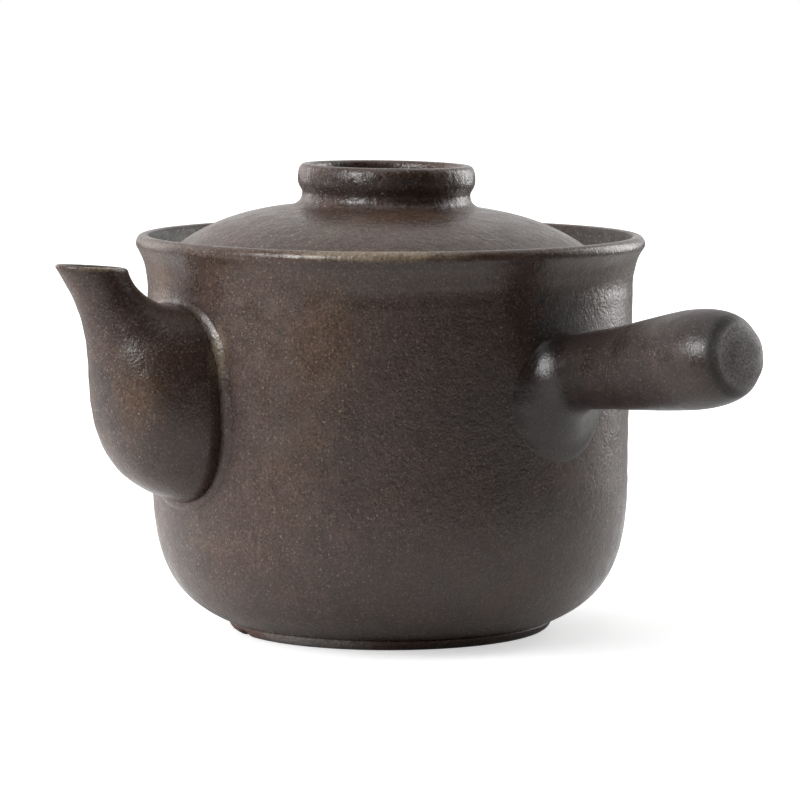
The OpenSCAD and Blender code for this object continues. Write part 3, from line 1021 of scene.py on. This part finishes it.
def cloud_group():
    """Slow drifts of colour from the flame and the ash, as three masks."""
    tree, given = new_group(
        "Kiln clouds", [("Position", "NodeSocketVector", None)],
        [("Warm", "NodeSocketFloat"), ("Ash", "NodeSocketFloat"), ("Smoke", "NodeSocketFloat")],
    )
    at = given["Position"]
    warm = slope(tree, noise_at(tree, at, 0.030, 4, 0.55, (11, 40, 5)), 0.50, 0.72)
    ash = slope(tree, noise_at(tree, at, 0.040, 4, 0.6, (70, 3, 31)), 0.50, 0.75)
    smoke = slope(tree, noise_at(tree, at, 0.024, 3, 0.5, (29, 90, 60)), 0.48, 0.74)
    node(tree, "NodeGroupOutput", {"Warm": warm, "Ash": ash, "Smoke": smoke})
    return tree


def peel_group():
    """Height of the pebbled surface: broad ripples, pebbles and pits."""
    tree, given = new_group(
        "Pebbled skin",
        [("Position", "NodeSocketVector", None), ("Ripple", "NodeSocketFloat", 0.5)],
        [("Height", "NodeSocketFloat")],
    )
    at = given["Position"]
    broad = noise_at(tree, at, 0.32, 2, 0.5, (5, 8, 13))
    pebble = noise_at(tree, at, 0.95, 2, 0.6, (21, 1, 34))
    fine = noise_at(tree, at, 2.6, 1, 0.5, (2, 55, 9))
    height = maths(tree, "MULTIPLY", broad, given["Ripple"])
    height = maths(tree, "MULTIPLY_ADD", pebble, 0.55, height)
    height = maths(tree, "MULTIPLY_ADD", fine, 0.18, height)
    node(tree, "NodeGroupOutput", {"Height": height})
    return tree


def mark_group():
    """One soft-edged patch round a point, ragged by noise, as a mask."""
    tree, given = new_group(
        "Kiln mark",
        [("Position", "NodeSocketVector", None), ("Centre", "NodeSocketVector", None),
         ("Spread", "NodeSocketVector", (20.0, 20.0, 20.0))],
        [("Mask", "NodeSocketFloat")],
    )
    away = vector(tree, "SUBTRACT", given["Position"], given["Centre"])[0]
    away = vector(tree, "DIVIDE", away, given["Spread"])[0]
    far = vector(tree, "LENGTH", away)["Value"]
    ragged = noise_at(tree, given["Position"], 0.12, 4, 0.6)
    far = maths(tree, "MULTIPLY_ADD", ragged, 0.9, maths(tree, "SUBTRACT", far, 0.45))
    node(tree, "NodeGroupOutput", {"Mask": slope(tree, far, 1.0, 0.35)})
    return tree


GROUP_MAKERS = {
    "Grog specks": grain_group,
    "Kiln clouds": cloud_group,
    "Pebbled skin": peel_group,
    "Kiln mark": mark_group,
}


def group_in(tree, name, values):
    """A shared node group placed in a material with its own values."""
    shared = bpy.data.node_groups.get(name) or GROUP_MAKERS[name]()
    return node(tree, "ShaderNodeGroup", values, node_tree=shared).outputs


# Patches of colour that the kiln left, and patches of painted highlight, shade, shadow and
# reflection: centre and spread in millimetres, colour and strength.
MARKS = {
    "stoneware": [
        ((-126, -4, 82), (18, 20, 48), "soot_and_shade", 0.72),
        ((-118, -22, 92), (20, 16, 16), "warm", 0.75),
        ((-126, -20, 78), (7, 12, 6), "olive", 0.5),
        ((-62, -62, 112), (14, 14, 24), "warm", 0.35),
        ((20, -86, 112), (22, 22, 22), "smoke", 0.8),
        # Painted shade where the belly turns away from the key lamp.
        ((0, -88, 84), (31, 20, 50), "soot_and_shade", 0.38),
        # Ash run on the rim's front, made paler than ash alone as a painted highlight on the lip.
        ((-50, -76, 141.4), (46, 30, 3.0), "ash", 0.95),
        # Painted highlight: a broken pale line on the spout's front lip.
        ((-120, -9.5, 135.4), (13, 4, 1.6), "ash", 0.8),
        # Painted highlight on the upper right of the spout's seam.
        ((-84, -26.5, 105), (5, 4.5, 15), "ash", 0.45),
        # Painted shade: a dark band under the rim's lip, where the flare turns down.
        ((-30, -78, 137.6), (70, 40, 1.9), "iron", 0.6),
    ],
    "grip": [
        ((20, -96, 98), (14, 20, 22), "soot_and_shade", 0.5),
        ((34, -104, 106), (9, 9, 6), "olive", 0.8),
    ],
    "bare_clay": [
        # Painted shadow on the right of the foot.
        ((34, -52, 2), (32, 32, 12), "iron", 0.5),
        # Painted reflection of the lit floor on the left of the foot.
        ((-50, -30, 2.5), (30, 30, 7), "floor_lit", 0.8),
    ],
    "lid_stoneware": [
        ((-20, -36, 152), (26, 12, 5), "warm", 0.4),
        ((-22, -4, 161), (40, 40, 9), "soot_and_shade", 0.7),
    ],
}


def specks(tree, at, ground, tint, layers):
    """Adds layers of grains to a ground colour."""
    for spacing, radius, chance, strength in layers:
        mask = group_in(
            tree, "Grog specks",
            {"Position": at, "Spacing": spacing, "Radius": radius, "Share": chance},
        )["Mask"]
        ground = blend(tree, maths(tree, "MULTIPLY", mask, strength), ground, tint)
    return ground


def fired_clay(name, glaze, base, ripple, gloss, bump, variety=1.0):
    """A stoneware finish: kiln clouds, marks (some of them painted highlight, shade, shadow and
    reflection), painted shade where hollow, painted light on the handle's end, grains, pebbled skin
    and uneven gloss.
    """
    material = bpy.data.materials.new("fired " + name)
    tree = blank_tree(material)
    at = node(
        tree, "ShaderNodeVectorMath", {0: object_place(tree), "Scale": 1 / MM}, operation="SCALE"
    ).outputs[0]
    clouds = group_in(tree, "Kiln clouds", {"Position": at})
    tint = rgba(base)
    for mask, hue, strength in (("Warm", glaze.warm, 0.50), ("Ash", glaze.olive, 0.35),
                                ("Smoke", glaze.smoke, 0.40)):
        amount = maths(tree, "MULTIPLY", clouds[mask], strength * variety)
        tint = blend(tree, amount, tint, rgba(hue))
    for centre, spread, hue, strength in MARKS.get(name, ()):
        mask = group_in(tree, "Kiln mark", {"Position": at, "Centre": centre, "Spread": spread})
        amount = maths(tree, "MULTIPLY", mask["Mask"], strength)
        tint = blend(tree, amount, tint, rgba(getattr(glaze, hue)))
    mottle = noise_at(tree, at, 1.2, 2, 0.6, (8, 14, 3))
    mottle = slope(tree, mottle, 0.3, 0.7, 0.60, 1.35)
    drift = slope(tree, noise_at(tree, at, 0.10, 4, 0.65, (61, 2, 17)), 0.35, 0.65, 0.86, 1.14)
    hollow = node(tree, "ShaderNodeAttribute", attribute_name="hollow").outputs["Fac"]
    dull = node(tree, "ShaderNodeAttribute", attribute_name="dull").outputs["Fac"]
    # Painted light: the handle's end face is made pale grey as if lit from the right.
    tint = blend(tree, dull, tint, rgba(glaze.end_face_light))
    # Painted shade: where the mesh is hollow the colour is darkened to four tenths.
    dark = slope(tree, hollow, 0, 1, 1.0, 0.40)
    dark = maths(tree, "MULTIPLY", maths(tree, "MULTIPLY", mottle, drift), dark)
    tint = blend(tree, 1.0, tint, dark, "MULTIPLY")
    tint = specks(tree, at, tint, rgba(glaze.iron), [(1.2, 0.36, 0.5, 0.6)])
    tint = specks(tree, at, tint, rgba(glaze.speck),
                  [(0.9, 0.28, 0.6, 0.42 * variety), (1.7, 0.32, 0.4, 0.55 * variety),
                   (3.6, 0.36, 0.40, 0.75 * variety)])
    skin = group_in(tree, "Pebbled skin", {"Position": at, "Ripple": ripple})["Height"]
    shine = noise_at(tree, at, 0.11, 3, 0.6, (33, 7, 71))
    shine = slope(tree, shine, 0.35, 0.70, gloss + 0.07, gloss - 0.06)
    shine = maths(tree, "MULTIPLY_ADD", maths(tree, "MAXIMUM", hollow, dull), 0.3, shine)
    relief = node(
        tree, "ShaderNodeBump", {"Strength": 1.0, "Distance": bump, "Height": skin}
    ).outputs["Normal"]
    shader = node(
        tree, "ShaderNodeBsdfPrincipled",
        {"Base Color": tint, "Roughness": shine, "Normal": relief},
    )
    node(tree, "ShaderNodeOutputMaterial", {"Surface": shader.outputs[0]})
    return material


def finish(name):
    """The fired finish of that name, made when it is first asked for."""
    fired = bpy.data.materials.get("fired " + name)
    if fired:
        return fired
    glaze = bpy.context.scene.pot_glaze
    if name == "bare_clay":
        return fired_clay(name, glaze, glaze.bare, 0.3, 0.42, glaze.peel * 0.7)
    if name == "grip":
        return fired_clay(name, glaze, glaze.grip, 0.5, glaze.roughness + 0.06,
                          glaze.peel * 0.8, 0.45)
    ripple = 1.5 if name == "lid_stoneware" else 0.6
    return fired_clay(name, glaze, glaze.body, ripple, glaze.roughness, glaze.peel)


class POT_OT_strainer(bpy.types.Operator):
    """Gives the pierced strainer behind the spout its finish"""

    bl_idname = "herb_pot.strainer"
    bl_label = "Strainer"

    def execute(self, context):
        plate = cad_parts["strainer"]
        plate.data.materials.clear()
        plate.data.materials.append(finish("stoneware"))
        return {"FINISHED"}


# ---- stage ----


# Where each lamp stands in metres, as the camera sees it (right, towards the camera, up), its size.
LAMPS = {
    "key": ((-0.80, 0.78, 0.70), (0.60, 0.70)),
    "gleam": ((-0.80, 0.78, 0.70), (0.36, 0.44)),
    "side": ((-1.30, 0.15, 0.45), (0.90, 1.10)),
    "top": ((-0.10, 0.35, 1.40), (1.00, 0.80)),
    "right": ((1.00, -0.80, 0.40), (0.50, 0.90)),
    "flank": ((1.15, -0.35, 0.60), (0.50, 1.00)),
    "left": ((-1.00, -0.85, 0.40), (0.50, 0.90)),
}


class POT_OT_stage(bpy.types.Operator):
    """Sets the floor, the soft lamps, the white surroundings and the camera"""

    bl_idname = "herb_pot.stage"
    bl_label = "Stage"

    def execute(self, context):
        s = context.scene.pot_stage
        self.to_camera = Vector((math.sin(s.azimuth), -math.cos(s.azimuth), 0))
        self.right = Vector((math.cos(s.azimuth), math.sin(s.azimuth), 0))
        self.floor(context, s)
        self.surroundings(context, s)
        lamps = {
            name: self.lamp(context, name, where, size, getattr(s, name))
            for name, (where, size) in LAMPS.items()
        }
        lamps["gleam"].visible_diffuse = False
        lamps["side"].visible_glossy = False
        self.camera(context, s)
        context.scene.view_settings.view_transform = "Standard"
        return {"FINISHED"}

    def place(self, right, forward, up):
        """A point given from the camera's side: to its right, towards it and up."""
        return self.right * right + self.to_camera * forward + Vector((0, 0, up))

    def lamp(self, context, name, where, size, power):
        """One rectangular soft lamp that faces the pot."""
        data = bpy.data.lights.new(name, "AREA")
        data.shape = "RECTANGLE"
        data.size, data.size_y = size
        data.energy = power
        lamp = bpy.data.objects.new(name, data)
        lamp.location = self.place(*where)
        aim = Vector((0, 0, 0.09)) - lamp.location
        lamp.rotation_euler = aim.to_track_quat("-Z", "Y").to_euler()
        context.scene.collection.objects.link(lamp)
        return lamp

    def camera(self, context, s):
        """The camera at the photograph's viewing angle."""
        data = bpy.data.cameras.new("camera")
        data.lens = s.lens
        data.sensor_width = SENSOR
        data.clip_end = 20
        camera = bpy.data.objects.new("camera", data)
        aim = self.right * s.aim_right + Vector((0, 0, s.aim_up))
        away = self.to_camera * math.cos(s.elevation) + Vector((0, 0, math.sin(s.elevation)))
        camera.location = aim + away * s.distance
        camera.rotation_euler = (-away).to_track_quat("-Z", "Y").to_euler()
        context.scene.collection.objects.link(camera)
        context.scene.camera = camera

    def floor(self, context, s):
        """A wide pale floor that keeps the pot's shadow and is white to the camera."""
        bm = bmesh.new()
        bmesh.ops.create_circle(bm, cap_ends=True, radius=FLOOR_RADIUS, segments=64)
        mesh = bpy.data.meshes.new("floor")
        bm.to_mesh(mesh)
        bm.free()
        floor = bpy.data.objects.new("floor", mesh)
        context.scene.collection.objects.link(floor)
        material = bpy.data.materials.new("floor")
        tree = blank_tree(material)
        seen = node(tree, "ShaderNodeLightPath").outputs
        tint = blend(tree, seen["Is Camera Ray"], rgba([s.bounce] * 3), rgba(s.floor))
        pale = node(tree, "ShaderNodeBsdfDiffuse", {"Color": tint})
        far = vector(tree, "LENGTH", object_place(tree))["Value"]
        # Painted reflection: the floor near the pot glows in reflections alone, which lightens the
        # pot's lower body; right under the foot it does not glow.
        near = maths(tree, "MULTIPLY", slope(tree, far, 0.60, 0.25), slope(tree, far, 0.045, 0.105))
        near = maths(tree, "MULTIPLY", near, s.gloss)
        lift = slope(tree, far, 0.35, 1.0, 0.55, 1.0)
        lift = maths(tree, "MULTIPLY", seen["Is Camera Ray"], lift)
        lift = maths(tree, "MULTIPLY_ADD", seen["Is Glossy Ray"], near, lift)
        glow = node(tree, "ShaderNodeEmission", {"Color": rgba((1, 1, 1)), "Strength": lift})
        both = node(tree, "ShaderNodeAddShader", {0: pale.outputs[0], 1: glow.outputs[0]})
        node(tree, "ShaderNodeOutputMaterial", {"Surface": both.outputs[0]})
        mesh.materials.append(material)

    def surroundings(self, context, s):
        """A white room behind the pot that fades to a dim one on the camera's side."""
        world = bpy.data.worlds.new("surroundings")
        context.scene.world = world
        tree = blank_tree(world)
        look = node(tree, "ShaderNodeTexCoord").outputs["Generated"]
        facing = vector(tree, "DOT_PRODUCT", look, tuple(self.to_camera))["Value"]
        room = slope(tree, facing, 0.30, -0.35, s.ambient, s.behind)
        seen = node(tree, "ShaderNodeLightPath").outputs
        level = maths(tree, "MAXIMUM", room, seen["Is Camera Ray"])
        sky = node(tree, "ShaderNodeBackground", {"Color": rgba((1, 1, 1)), "Strength": level})
        node(tree, "ShaderNodeOutputWorld", {"Surface": sky.outputs[0]})


class POT_PT_panel(bpy.types.Panel):
    """Lists the pot's pieces and their sizes in the 3D view's sidebar"""

    bl_idname = "POT_PT_panel"
    bl_label = "Herb pot"
    bl_space_type = "VIEW_3D"
    bl_region_type = "UI"
    bl_category = "Herb pot"

    def draw(self, context):
        layout = self.layout
        for operator in OPERATORS:
            layout.operator(operator.bl_idname)
        for name, group in GROUPS.items():
            box = layout.box()
            box.label(text=group.__doc__)
            for size in group.__annotations__:
                box.prop(getattr(context.scene, name), size)


OPERATORS = [
    POT_OT_vessel, POT_OT_foot, POT_OT_strainer, POT_OT_spout, POT_OT_seam, POT_OT_handle,
    POT_OT_lid, POT_OT_knob, POT_OT_stage,
]
CLASSES = [*GROUPS.values(), *OPERATORS, POT_PT_panel]


def register():
    """Registers the classes and hangs the sizes on the scene."""
    for cls in CLASSES:
        bpy.utils.register_class(cls)
    for name, group in GROUPS.items():
        setattr(bpy.types.Scene, name, PointerProperty(type=group))


def unregister():
    """Takes the sizes off the scene and unregisters the classes."""
    for name in GROUPS:
        delattr(bpy.types.Scene, name)
    for cls in reversed(CLASSES):
        bpy.utils.unregister_class(cls)


def main():
    """Builds every piece and the stage."""
    register()
    for operator in OPERATORS:
        family, step = operator.bl_idname.split(".")
        getattr(getattr(bpy.ops, family), step)()


if __name__ == "__main__":
    main()
